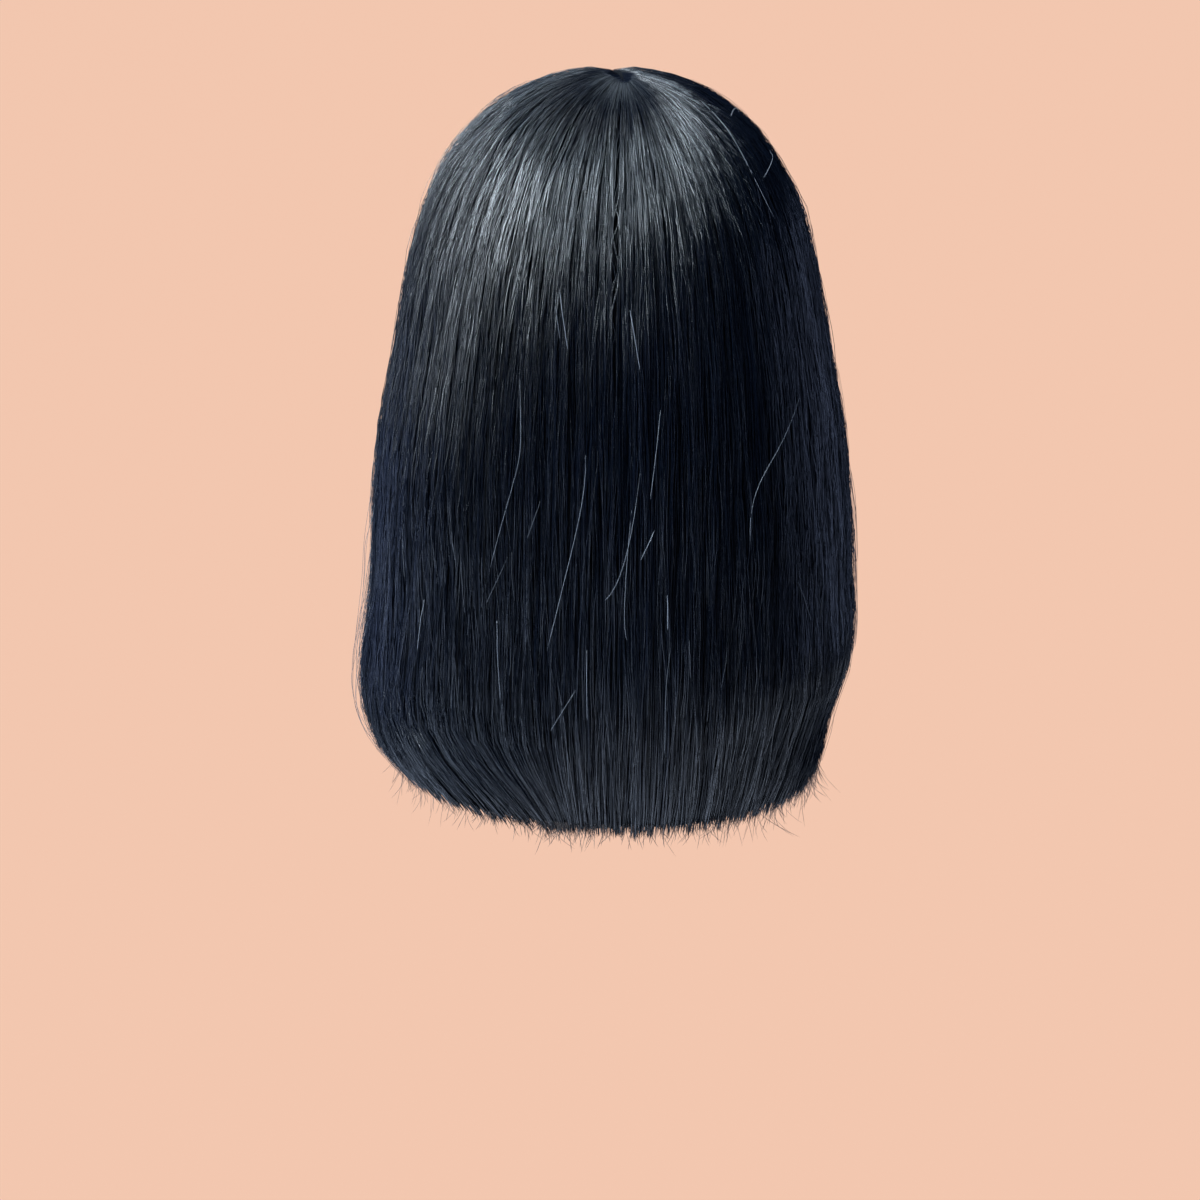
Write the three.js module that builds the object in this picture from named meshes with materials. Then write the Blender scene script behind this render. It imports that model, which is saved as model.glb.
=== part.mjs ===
// A straight bob wig with a centre part: a stretch cap, and the hair that hangs from it.
// Millimetres. The origin is the top of the inside of the cap, where the crown of the head sits.
// +Z is up, -Y is the face side and +X is the wearer's left.
import * as THREE from "three";

// The head that the cap fits, measured from its crown and its upright axis.
const HEAD_HALF_WIDTH = 76;
const HEAD_FRONT = 92;
const HEAD_BACK = 98;
const CROWN_RISE = 105; // from the head's widest level up to its crown
const NAPE_REACH = 130; // how far below the widest level the head's back would close
const DOME_ROUNDNESS = 2.25; // 2 is an ellipse, more is a squarer dome

// The cap: a thin stretch net with a doubled edge.
const CAP_WALL = 1.2;
const CAP_HEM_EXTRA = 0.6;
const CAP_HEM_SHARE = 0.92; // where on the way from crown to edge the doubled edge begins
const CAP_NAPE_DROP = 160; // from the crown down to the cap's edge at the nape

// The hair's cover over the bare head, at the crown and at the widest level.
const TOP_COVER = 13;
const SIDE_COVER = 14;
const BACK_COVER = 13;
const FRONT_COVER = 9;

// The part, and the face edge.
const PART_FRONT = 83; // the part's front end on the head, at the forehead, forward of the axis
const PART_BACK = 20; // where the part ends on the crown, behind the axis
const CROWN_ROOTS = 14; // how far behind the part the crown's roots reach
const PART_HALF_WIDTH = 1.2;
const PART_RUN = 4; // distance from the roots at which the hair has its full cover
const PART_COVER = 0.78; // share of the full cover at the roots
const FACE_TURN = 38; // degrees round from the face to the hair's front edge
const FACE_RUN = 12; // degrees over which the hair thickens from that edge
const FACE_COVER = 0.35; // share of the full cover at that edge
const FACE_BOW = 4; // how far the front locks bow forward on their way from part to temple
const BOW_TURN = 85; // degrees round from the face where that bow has died out
const EAR_TURN = 100; // degrees round to the seam between side hair and back hair

// The hanging hair.
const CUT_DROP = 296; // from the crown of the head down to the cut ends
const FLARE = 19; // how much wider each side hangs at its widest than the cover at the head
const FLARE_START = 4.6; // the power of the way down from the crown with which the flare begins
const END_TUCK = 13; // how far the ends turn in
const CURTAIN_WALL = 9;
const TIP_WALL = 3;

// The under hair, sewn round the nape inside the hanging hair.
const UNDER_TURN = 86; // degrees round from the face to its two ends
const UNDER_TOP_DROP = 118;
const UNDER_WALL = 8;
const UNDER_SHORTER = 6;

// Locks in the hair's outer form.
const LOCK_DEPTH = 2.8;
const LOCK_NOTCH = 3;
const LOCK_UNEVEN = 2.2;
const LOCK_SHIFT = 0.35; // how far a ridge or valley strays, as a share of its spacing
const SIDE_LOCKS = 9;
const BACK_LOCKS = 13;
const UNDER_LOCKS = 16;

// Gaps between pieces.
const CAP_GAP = 0.8;
const CAP_SETBACK = 3; // how far the cap's edge stays behind the front locks
const SEAM_GAP = 0.4;
const UNDER_GAP = 0.5;

// Facets.
const CAP_COLUMNS = 48;
const CAP_ROWS = 12;
const DOME_ROWS = 9; // the first of them ends where the hair has its full cover
const UNEVEN_STEP = 2.3; // radians from one uneven number to the next

// The cap's edge from the temple round to the nape: degrees from the face, and its drop as a
// share of the nape's. From the forehead to the temple it follows the front locks.
const CAP_EDGE = [
  { where: "temple", turn: FACE_TURN, drop: 0.62 },
  { where: "ear tab", turn: 68, drop: 0.79 },
  { where: "over the ear", turn: 92, drop: 0.7 },
  { where: "behind the ear", turn: 114, drop: 0.86 },
  { where: "nape corner", turn: 150, drop: 1.02 },
  { where: "nape", turn: 180, drop: 1.0 },
];

// The hanging hair from the widest level to the cut: how far down as a share of the fall, the
// spread as a share of the flare, how far each side is turned in, as shares of the tuck, and the
// wall: how far it has left the cap for the curtain's thickness, and the curtain's for the tips'.
const HANG = [
  { down: 0.0, spread: 0.26, right: 0.0, left: 0.0, back: 0.0, leave: 0.0, thin: 0.0 },
  { down: 0.16, spread: 0.58, right: 0.0, left: 0.0, back: 0.2, leave: 0.6, thin: 0.0 },
  { down: 0.35, spread: 0.81, right: 0.0, left: 0.0, back: 0.4, leave: 1.0, thin: 0.0 },
  { down: 0.54, spread: 0.91, right: 0.0, left: 0.0, back: 0.5, leave: 1.0, thin: 0.0 },
  { down: 0.66, spread: 0.98, right: 0.03, left: -0.13, back: 0.56, leave: 1.0, thin: 0.1 },
  { down: 0.75, spread: 1.0, right: 0.25, left: -0.27, back: 0.64, leave: 1.0, thin: 0.3 },
  { down: 0.84, spread: 1.0, right: 0.78, left: -0.24, back: 0.84, leave: 1.0, thin: 0.55 },
  { down: 0.92, spread: 1.0, right: 0.98, left: 0.15, back: 1.1, leave: 1.0, thin: 0.78 },
  { down: 1.0, spread: 1.0, right: 1.3, left: 1.1, back: 1.5, leave: 1.0, thin: 1.0 },
];

// The panels on each side of the part, with the kind of unevenness that each one's locks have.
const PANELS = [
  { name: "left", side: 1, sideKind: 3, backKind: 5 },
  { name: "right", side: -1, sideKind: 7, backKind: 9 },
];

const FALL = CUT_DROP - CROWN_RISE;
const { lerp, clamp, smoothstep, degToRad } = THREE.MathUtils;

// A table's column read between its rows.
function read(table, key, column, at) {
  const last = table.length - 1;
  const after = table.findIndex((row) => row[key] >= at);
  const i = clamp(after < 0 ? last : after, 1, last);
  const [a, b] = [table[i - 1], table[i]];
  const share = clamp((at - a[key]) / (b[key] - a[key]), 0, 1);
  return lerp(a[column], b[column], share);
}

// An uneven but repeatable number from -1 to 1, for the place index in one kind of row.
function uneven(index, kind) {
  return Math.sin(UNEVEN_STEP * index + UNEVEN_STEP * kind * kind);
}

// A rounded surface over the head, as its four reaches from the centre of the widest level.
function headAxes(extra) {
  return {
    side: HEAD_HALF_WIDTH + extra,
    front: HEAD_FRONT + extra,
    back: HEAD_BACK + extra,
    rise: CROWN_RISE + extra,
  };
}

const HAIR_AXES = {
  side: HEAD_HALF_WIDTH + SIDE_COVER,
  front: HEAD_FRONT + FRONT_COVER,
  back: HEAD_BACK + BACK_COVER,
  rise: CROWN_RISE + TOP_COVER,
};
const INNER_AXES = headAxes(CAP_WALL + CAP_GAP);

// The hair's outer surface, between the cap and its full cover, less a dent.
function coveredAxes(cover, dent) {
  const axes = {};
  for (const way of Object.keys(HAIR_AXES))
    axes[way] = lerp(INNER_AXES[way], HAIR_AXES[way], cover) - dent;
  return axes;
}

// A place seen from above: (across, along) is 1 long at the widest level.
function onDome(across, along, axes) {
  const out = Math.min(1, Math.hypot(across, along));
  const height = (1 - out ** DOME_ROUNDNESS) ** (1 / DOME_ROUNDNESS);
  return [
    across * axes.side,
    along * (along < 0 ? axes.front : axes.back),
    axes.rise * height - CROWN_RISE,
  ];
}

// A closed solid from grids of points: a front face, a back face, and the edges between them.
function solidBetween(outer, inner, columns, rows, round) {
  const points = [];
  const faces = [];
  const across = round ? columns : columns + 1;
  for (const face of [outer, inner])
    for (let row = 0; row <= rows; row++)
      for (let column = 0; column < across; column++)
        points.push(...face(column, row));
  const at = (side, row, column) =>
    side * across * (rows + 1) + row * across + (column % across);
  const quad = (a, b, c, d) => faces.push(a, b, c, a, c, d);
  for (let row = 0; row < rows; row++)
    for (let column = 0; column < columns; column++) {
      const corners = (side) => [
        at(side, row, column),
        at(side, row + 1, column),
        at(side, row + 1, column + 1),
        at(side, row, column + 1),
      ];
      quad(...corners(0));
      quad(...corners(1).reverse());
    }
  for (const row of round ? [rows] : [0, rows])
    for (let column = 0; column < columns; column++) {
      const strip = [
        at(0, row, column),
        at(1, row, column),
        at(1, row, column + 1),
        at(0, row, column + 1),
      ];
      quad(...(row ? strip : strip.reverse()));
    }
  for (const column of round ? [] : [0, columns])
    for (let row = 0; row < rows; row++) {
      const strip = [
        at(0, row, column),
        at(1, row, column),
        at(1, row + 1, column),
        at(0, row + 1, column),
      ];
      quad(...(column ? strip.reverse() : strip));
    }
  return new THREE.BufferGeometry()
    .setAttribute("position", new THREE.Float32BufferAttribute(points, 3))
    .setIndex(faces);
}

// A direction all the way round, as degrees from the face on either side.
function fromFace(turn) {
  return 180 - Math.abs(180 - turn);
}

// The head's surface along one direction, from the crown (0) past the widest level (1) to the nape.
function onHead(turn, polar, axes) {
  const angle = degToRad(turn);
  if (polar <= 1) {
    const out = Math.sin((polar * Math.PI) / 2) ** (2 / DOME_ROUNDNESS);
    return onDome(out * Math.sin(angle), -out * Math.cos(angle), axes);
  }
  const below = ((polar - 1) * Math.PI) / 2;
  const [x, y] = onDome(
    Math.cos(below) * Math.sin(angle),
    -Math.cos(below) * Math.cos(angle),
    axes,
  );
  return [x, y, -CROWN_RISE - NAPE_REACH * Math.sin(below)];
}

// How much further out a lock lies because the front locks bow forward.
function bowed(turn, share) {
  const bow = (FACE_BOW / HEAD_FRONT) * (1 - smoothstep(turn, FACE_TURN, BOW_TURN));
  return 1 + 4 * bow * share * (1 - share);
}

// How far out from the crown the front locks' edge lies in one direction before the temple.
function faceLine(turn) {
  const root = PART_FRONT / HEAD_FRONT;
  const slope = Math.tan(degToRad(turn));
  const [landX, landY] = [Math.sin(degToRad(FACE_TURN)), Math.cos(degToRad(FACE_TURN))];
  const share = (root * slope) / (landX + (root - landY) * slope);
  const chord = Math.hypot(share * landX, lerp(root, landY, share));
  return chord * bowed(FACE_TURN, share);
}

// The cap's edge in one direction, in the measure that onHead uses.
function capEdge(turn) {
  if (turn < FACE_TURN) {
    const polar = (2 / Math.PI) * Math.asin(faceLine(turn) ** (DOME_ROUNDNESS / 2));
    return polar - ((2 / Math.PI) * CAP_SETBACK) / CROWN_RISE;
  }
  const drop = CAP_NAPE_DROP * read(CAP_EDGE, "turn", "drop", turn);
  if (drop > CROWN_RISE)
    return 1 + (2 / Math.PI) * Math.asin((drop - CROWN_RISE) / NAPE_REACH);
  const height = (CROWN_RISE - drop) / CROWN_RISE;
  return (2 / Math.PI) * Math.acos(height ** (DOME_ROUNDNESS / 2));
}

function cap() {
  const face = (offset) => (column, row) => {
    const turn = (360 * column) / CAP_COLUMNS;
    const share = row / CAP_ROWS;
    const polar = share * capEdge(fromFace(turn));
    return onHead(turn, polar, headAxes(offset(share)));
  };
  const outer = face(() => CAP_WALL);
  const inner = face((share) => (share > CAP_HEM_SHARE ? -CAP_HEM_EXTRA : 0));
  return solidBetween(outer, inner, CAP_COLUMNS, CAP_ROWS, true);
}

// How far in the hanging hair is turned at one place, as a share of the tuck.
function tuckAt(down, across, along, side) {
  const sides = read(HANG, "down", side > 0 ? "left" : "right", down);
  const back = read(HANG, "down", "back", down);
  return lerp(sides, back, along > 0 ? along * along : 0);
}

// One lock line's way from its root to the cut, as a point on the outer or the inner face.
// turn is degrees round from the face; side is 1 for left, -1 for right.
function lockLine(turn, side) {
  const angle = degToRad(turn);
  const land = [Math.sin(angle), -Math.cos(angle)];
  const behind = clamp((turn - EAR_TURN) / (180 - EAR_TURN), 0, 1);
  const forward = clamp((turn - FACE_TURN) / (EAR_TURN - FACE_TURN), 0, 1);
  const rootY = lerp(-PART_FRONT, PART_BACK, forward) + CROWN_ROOTS * behind;
  const root = [
    (PART_HALF_WIDTH * (1 - behind)) / HEAD_HALF_WIDTH,
    rootY / (rootY < 0 ? HEAD_FRONT : HEAD_BACK),
  ];
  const edge = lerp(FACE_COVER, 1, smoothstep(turn, FACE_TURN, FACE_TURN + FACE_RUN));
  const rootRun = PART_RUN / HAIR_AXES.side;
  return { turn, land, root, edge, rootRun, side };
}

function lockPoint(line, place, dent, inside) {
  const { turn, land, root, edge, rootRun, side } = line;
  if (place.dome < 1) {
    const pushed = bowed(turn, place.dome);
    const across = pushed * lerp(root[0], land[0], place.dome);
    const along = pushed * lerp(root[1], land[1], place.dome);
    const away = Math.hypot(across - root[0], along - root[1]);
    const cover = edge * lerp(PART_COVER, 1, smoothstep(away, 0, rootRun));
    const axes = inside ? INNER_AXES : coveredAxes(cover, dent * cover);
    const [x, y, z] = onDome(across, along, axes);
    const dropped = 1 - (z + CROWN_RISE) / axes.rise;
    const flare = inside ? 0 : FLARE * HANG[0].spread * dropped ** FLARE_START;
    return [side * (x + flare * land[0]), y + flare * land[1], z];
  }
  const down = place.down < 1 ? place.down : 1 + place.longer / FALL;
  const spread = FLARE * read(HANG, "down", "spread", down);
  const growth = spread - END_TUCK * tuckAt(down, ...land, side);
  const [x, y] = onDome(...land, coveredAxes(edge, inside ? 0 : dent * edge));
  const [innerX, innerY] = onDome(...land, INNER_AXES);
  const [fullX, fullY] = onDome(...land, coveredAxes(edge, 0));
  const seated = Math.hypot(fullX - innerX, fullY - innerY) + FLARE * HANG[0].spread;
  const hanging = edge * lerp(CURTAIN_WALL, TIP_WALL, read(HANG, "down", "thin", down));
  const wall = lerp(seated, hanging, read(HANG, "down", "leave", down));
  const out = growth - (inside ? wall : 0);
  return [
    side * (x + out * land[0]),
    y + out * land[1],
    -CROWN_RISE - down * FALL,
  ];
}

// The rows of a hair panel: the roots, over the dome, then down the fall.
function panelPlace(row, longer) {
  if (row < 2)
    return { dome: (row * PART_RUN) / HAIR_AXES.side };
  if (row < DOME_ROWS)
    return { dome: Math.sin(((row - 1) / (DOME_ROWS - 1)) * (Math.PI / 2)) };
  return { dome: 1, down: HANG[row - DOME_ROWS].down, longer };
}

// A panel of hair between two turns, on one side, with a ridge in the middle of each lock.
function hairPanel(side, fromTurn, toTurn, locks, kind) {
  const columns = 2 * locks;
  const rows = DOME_ROWS + HANG.length - 1;
  const point = (inside) => (column, row) => {
    const atEnd = column === 0 || column === columns;
    const valley = column % 2 === 0;
    const shift = atEnd ? 0 : LOCK_SHIFT * uneven(column, kind);
    const turn = lerp(fromTurn, toTurn, (column + shift) / columns);
    const notch = valley ? LOCK_NOTCH : LOCK_UNEVEN * uneven(column, kind + 1);
    const line = lockLine(turn, side);
    const place = panelPlace(row, valley ? -notch : notch);
    const grown = clamp(row / DOME_ROWS, 0, 1);
    const dent = valley && !inside ? LOCK_DEPTH * grown : 0;
    return clearOfSeams(lockPoint(line, place, dent, inside), side, turn, fromTurn);
  };
  return side > 0
    ? solidBetween(point(false), point(true), columns, rows, false)
    : solidBetween(point(true), point(false), columns, rows, false);
}

// Keeps a panel half a gap from the back's middle, and from the seam behind the ear.
function clearOfSeams([x, y, z], side, turn, fromTurn) {
  const middle = SEAM_GAP / 2;
  const kept = side * Math.max(side * x, middle);
  if (turn !== EAR_TURN) return [kept, y, z];
  return [kept, y + (fromTurn === EAR_TURN ? middle : -middle), z];
}

// The under hair: a wall round the nape, between the cap or the neck and the hanging hair.
function underHair() {
  const columns = 2 * UNDER_LOCKS;
  const top = (UNDER_TOP_DROP - CROWN_RISE) / FALL;
  const ways = [top, ...HANG.map((hang) => hang.down).filter((down) => down > top)];
  const point = (inside) => (column, row) => {
    const turn = lerp(UNDER_TURN, 360 - UNDER_TURN, column / columns);
    const side = turn > 180 ? -1 : 1;
    const shorter = UNDER_SHORTER + (column % 2 ? 0 : LOCK_NOTCH);
    const down = ways[row];
    const line = lockLine(fromFace(turn), side);
    const hung = { dome: 1, down, longer: -shorter };
    const [x, y, z] = lockPoint(line, hung, 0, true);
    const { land } = line;
    const outerX = side * x - UNDER_GAP * land[0];
    const outerY = y - UNDER_GAP * land[1];
    if (!inside) return [side * outerX, outerY, z];
    const below = clamp((-z - CROWN_RISE) / NAPE_REACH, 0, 1);
    const capShare = Math.sqrt(1 - below * below);
    const [capX, capY] = onDome(...land, INNER_AXES);
    const wall = lerp(UNDER_WALL, TIP_WALL, read(HANG, "down", "thin", down));
    const reach = Math.hypot(outerX, outerY);
    const capReach = -z < CAP_NAPE_DROP ? capShare * Math.hypot(capX, capY) : 0;
    const kept = Math.max(reach - wall, capReach) / reach;
    return [side * outerX * kept, outerY * kept, z];
  };
  return solidBetween(point(false), point(true), columns, ways.length - 1, false);
}

const materials = {
  net: new THREE.MeshStandardMaterial({ color: 0x16130f, roughness: 0.9 }),
  hair: new THREE.MeshStandardMaterial({ color: 0x0b0e16, roughness: 0.38 }),
  underHair: new THREE.MeshStandardMaterial({ color: 0x080a10, roughness: 0.45 }),
};

function piece(name, geometry, material) {
  geometry.computeVertexNormals();
  const mesh = new THREE.Mesh(geometry, material);
  mesh.name = name;
  return mesh;
}

const wig = new THREE.Group();
wig.name = "bob_wig";
wig.add(piece("wig_cap", cap(), materials.net));
wig.add(piece("hair_under", underHair(), materials.underHair));
for (const { name, side, sideKind, backKind } of PANELS) {
  const sideHair = hairPanel(side, FACE_TURN, EAR_TURN, SIDE_LOCKS, sideKind);
  const backHair = hairPanel(side, EAR_TURN, 180, BACK_LOCKS, backKind);
  wig.add(piece("hair_side_" + name, sideHair, materials.hair));
  wig.add(piece("hair_back_" + name, backHair, materials.hair));
}

export default wig;
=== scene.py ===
# The looks of a straight bob wig with a centre part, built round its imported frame.
# Metres, in the frame's own axes: +Z up, -Y the face side and +X the wearer's left.
import math

import bmesh
import bpy
import numpy as np
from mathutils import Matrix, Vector


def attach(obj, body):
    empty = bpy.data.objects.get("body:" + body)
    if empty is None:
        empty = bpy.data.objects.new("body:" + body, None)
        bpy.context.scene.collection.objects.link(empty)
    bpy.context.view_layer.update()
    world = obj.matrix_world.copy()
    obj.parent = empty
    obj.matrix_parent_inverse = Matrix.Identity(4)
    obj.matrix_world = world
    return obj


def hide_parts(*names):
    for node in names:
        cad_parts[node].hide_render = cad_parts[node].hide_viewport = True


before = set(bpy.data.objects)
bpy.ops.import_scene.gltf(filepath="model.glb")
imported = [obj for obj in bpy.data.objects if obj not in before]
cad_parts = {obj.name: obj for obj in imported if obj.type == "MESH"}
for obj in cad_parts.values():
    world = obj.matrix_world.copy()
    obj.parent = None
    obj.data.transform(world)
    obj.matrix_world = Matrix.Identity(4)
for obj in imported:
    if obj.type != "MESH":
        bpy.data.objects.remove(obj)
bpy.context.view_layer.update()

# The head under the cap, and the hair's cover over it.
HEAD_HALF_WIDTH = 0.076
HEAD_FRONT = 0.092
HEAD_BACK = 0.098
CROWN_RISE = 0.105
NAPE_REACH = 0.130
DOME_ROUNDNESS = 2.25
CAP_STANDOFF = 0.002  # from the head out to the hair's inner face
CAP_NAPE_DROP = 0.160
TOP_COVER = 0.013
SIDE_COVER = 0.014
BACK_COVER = 0.013
FRONT_COVER = 0.009

# The part and the face edge. Turns are degrees round from the face, on either side.
PART_FRONT = 0.083
PART_BACK = 0.020
CROWN_ROOTS = 0.014
PART_HALF_WIDTH = 0.0012
PART_RUN = 0.004
PART_COVER = 0.78
FACE_TURN = 38.0
FACE_RUN = 12.0
FACE_COVER = 0.35
FACE_BOW = 0.004
BOW_TURN = 85.0
EAR_TURN = 100.0
BACK_TURN = 180.0

# The fall.
CUT_DROP = 0.296
FALL = CUT_DROP - CROWN_RISE
FLARE = 0.019
FLARE_START = 4.6
END_TUCK = 0.013
CURTAIN_WALL = 0.009
TIP_WALL = 0.003
UNDER_TURN = 86.0
UNDER_TOP_DROP = 0.118
UNDER_WALL = 0.008
UNDER_SHORTER = 0.006
UNDER_GAP = 0.0005

# From the widest level to the cut: the way down, the spread as a share of the flare, how far
# each side is turned in as shares of the tuck, and the wall's share of leaving and thinning.
HANG = [
    {"down": 0.0, "spread": 0.26, "right": 0.0, "left": 0.0, "back": 0.0, "leave": 0.0, "thin": 0.0},
    {"down": 0.16, "spread": 0.58, "right": 0.0, "left": 0.0, "back": 0.2, "leave": 0.6, "thin": 0.0},
    {"down": 0.35, "spread": 0.81, "right": 0.0, "left": 0.0, "back": 0.4, "leave": 1.0, "thin": 0.0},
    {"down": 0.54, "spread": 0.91, "right": 0.0, "left": 0.0, "back": 0.5, "leave": 1.0, "thin": 0.0},
    {"down": 0.66, "spread": 0.98, "right": 0.03, "left": -0.13, "back": 0.56, "leave": 1.0, "thin": 0.1},
    {"down": 0.75, "spread": 1.0, "right": 0.25, "left": -0.27, "back": 0.64, "leave": 1.0, "thin": 0.3},
    {"down": 0.84, "spread": 1.0, "right": 0.78, "left": -0.24, "back": 0.84, "leave": 1.0, "thin": 0.55},
    {"down": 0.92, "spread": 1.0, "right": 0.98, "left": 0.15, "back": 1.1, "leave": 1.0, "thin": 0.78},
    {"down": 1.0, "spread": 1.0, "right": 1.3, "left": 1.1, "back": 1.5, "leave": 1.0, "thin": 1.0},
]

# The hair panels, each on one side of the part, with its locks and their kind of unevenness.
PANELS = [
    {"node": "hair_side_left", "side": 1, "turns": (FACE_TURN, EAR_TURN), "locks": 9, "kind": 3},
    {"node": "hair_back_left", "side": 1, "turns": (EAR_TURN, BACK_TURN), "locks": 13, "kind": 5},
    {"node": "hair_side_right", "side": -1, "turns": (FACE_TURN, EAR_TURN), "locks": 9, "kind": 7},
    {"node": "hair_back_right", "side": -1, "turns": (EAR_TURN, BACK_TURN), "locks": 13, "kind": 9},
]
LOCK_SHIFT = 0.35
LOCK_RELIEF = 0.0012
UNEVEN_STEP = 2.3

# The layers of strands on each panel, from the inmost out: how many for each degree of turn, how
# deep they lie, how wide they are, their stations over the dome and down the fall, the share of
# them that starts at the part, how much they stray and lift, and their material.
# The deeper layers take darker, less glossy copies of the hair material: painted shade between the strands.
LAYERS = [
    {
        "name": "fill", "per_degree": 8.4, "depth": (0.0010, 0.0034), "width": (0.00036, 0.0006),
        "dome": 8, "fall": 10, "rooted": 0.3, "stray": 1.0, "lift": 1.0, "material": "dull",
    },
    {
        "name": "strands", "per_degree": 5.0, "depth": (0.0001, 0.0010), "width": (0.00026, 0.00048),
        "dome": 17, "fall": 18, "rooted": 0.4, "stray": 1.0, "lift": 1.3, "material": "hair",
    },
    {
        "name": "shine", "per_degree": 2.4, "depth": (-0.0001, 0.0005), "width": (0.0002, 0.00032),
        "dome": 17, "fall": 18, "rooted": 0.5, "stray": 1.6, "lift": 2.0, "material": "shine",
    },
]
FULL_PART_COVER = 0.9  # the hair's cover at the part, where its mass lies below the full outer face
STARTS = (0.04, 0.62)  # where the strands that don't start at the part come out, on the dome's way
ROOT_DEPTH = (0.0004, 0.005)  # how deep a strand lies where it starts, at the part and below it
ROOT_RUN = (0.02, 0.08)  # the way over which it comes up from there
FREE_RUN = 0.5  # the way from the root over which strands and locks get their full unevenness
STRAND_FLATNESS = 0.7
DEEPEST = 0.94  # how deep anything may lie in a wall, as a share of it
WISP_TURN = 1.5  # degrees that one wisp of strands spans
WISP_BLUR = 0.35  # degrees over which wisps mix
PANEL_EDGE = 3.0  # degrees next to a panel's edges where its strands stray less
PANEL_EDGE_STRAY = 0.3  # the share of their stray that is left at the edge itself
FACE_LOOSE = 3.5  # degrees that strands may stray forward of the face edge
UNEVEN_END = 0.0012  # how unevenly the strands end, each alone and by wisp
SHORT_SHARE = 0.2  # the share of strands that end further up, by as much as SHORT_BY
SHORT_BY = 0.010
ROOT_WIDTH = 0.5  # the share of a strand's width at its root
FULL_WIDTH_AT = 0.15  # how far along it has its full width
TIP_RUN = 0.015  # the way over which a strand thins to its tip
TIP_WIDTH = 0.15  # the share of its width that is left there

# How the strands wander sideways, in degrees, and in and out: by wisp or alone, how far, and with
# how many half waves to the widest level.
STRAY_WAVES = [
    {"by": "wisp", "far": 0.8, "waves": (1.2, 2.3)},
    {"by": "strand", "far": 0.7, "waves": (0.9, 2.1, 3.7)},
    {"by": "strand", "far": 0.2, "waves": (6.0, 8.5)},
]
LIFT_WAVES = [
    {"by": "wisp", "far": 0.0009, "waves": (1.6, 3.1, 6.2)},
    {"by": "strand", "far": 0.0009, "waves": (2.2, 5.1, 8.6)},
]

# The mass under the strands: its columns for each degree and its rows on the dome and again on
# the fall, how deep it lies at its roots and below, its grooves, and how far above the cut it ends.
BASE = {
    "per_degree": 2.6, "rows": 18, "root_depth": 0.0009, "depth": 0.0028, "root_run": (0.02, 0.25),
    "groove": 0.0004, "groove_waves": (0.7, 2.3, 4.1), "shorter": 0.0025, "uneven": 0.001,
}

# Strands on the faces that look at the head: on the panels, and on the under hair's wall.
INNER_WIDTH = (0.0004, 0.0007)
# The strands that look at the head take only the darker, duller part of the tones: painted shade on the
# inside of the wig.
INNER_SHADED_TONES = (0, 0.7)
LINING = {
    "per_degree": 2.0, "stations": 13, "starts": (0.35, 1.1), "uneven": 0.008,
    "stray": 0.9, "stray_waves": (1.3, 2.9), "depth": 0.0004, "lift": 0.0006, "lift_waves": (1.9, 4.3),
}
UNDER_STRANDS = {
    "count": 380, "stations": 12, "starts": (0, 0.25), "longer": 0.004, "uneven": 0.01,
    "stray": 1.1, "stray_waves": (1.3, 3.4), "depth": 0.0005, "lift": 0.0007, "lift_waves": (1.9, 4.3),
}
UNDER_WALL_GRID = {"columns": 260, "rows": 26, "groove": 0.0004, "groove_waves": (2.3, 4.1, 6.5)}

# The thin gap that runs down from the crown between the strands that fall left and right.
GAP = {
    "side": 1, "turn": 171.0, "push": 0.6, "reach": 2.4, "opens": (0.1, 0.25), "closes": (0.75, 1.22),
    "depth": 0.0025,
}

# How far the ends sweep round towards the back as they turn under, in degrees on each side.
SWEEP = {1: 15.0, -1: 4.0}
SWEEP_TURNS = (97.0, 126.0, 134.0, 166.0)
SWEEP_WAYS = (1.76, 2.03)

# Where each kind of piece starts its own random numbers.
SEEDS = {"layer": 11, "base": 31, "lining": 41, "under": 61, "stray": 71, "wisps": 81}


def lerp(a, b, share):
    return a + (b - a) * share


def smoothstep(x, low, high):
    share = np.clip((x - low) / (high - low), 0, 1)
    return share * share * (3 - 2 * share)


def hang(column, down):
    """A column of HANG at any way down, as a smooth curve through its rows."""
    ways = np.array([row["down"] for row in HANG])
    values = np.array([row[column] for row in HANG])
    slopes = np.gradient(values, ways)
    i = np.clip(np.searchsorted(ways, down, side="right") - 1, 0, len(ways) - 2)
    width = ways[i + 1] - ways[i]
    t = (down - ways[i]) / width
    start = values[i] * (2 * t**3 - 3 * t**2 + 1) + slopes[i] * width * (t**3 - 2 * t**2 + t)
    end = values[i + 1] * (3 * t**2 - 2 * t**3) + slopes[i + 1] * width * (t**3 - t**2)
    return start + end


def on_dome(across, along, cover):
    """A place seen from above, 1 long at the widest level, between the cap (0) and full cover,
    and its height as a share of the crown's."""
    def reach(head, full):
        return head + lerp(CAP_STANDOFF, full, cover)
    out = np.minimum(1, np.hypot(across, along))
    height = (1 - out**DOME_ROUNDNESS) ** (1 / DOME_ROUNDNESS)
    forward = np.where(along < 0, reach(HEAD_FRONT, FRONT_COVER), reach(HEAD_BACK, BACK_COVER))
    x = across * reach(HEAD_HALF_WIDTH, SIDE_COVER)
    z = height * reach(CROWN_RISE, TOP_COVER) - CROWN_RISE
    return np.stack(np.broadcast_arrays(x, along * forward, z), axis=-1), height


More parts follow.
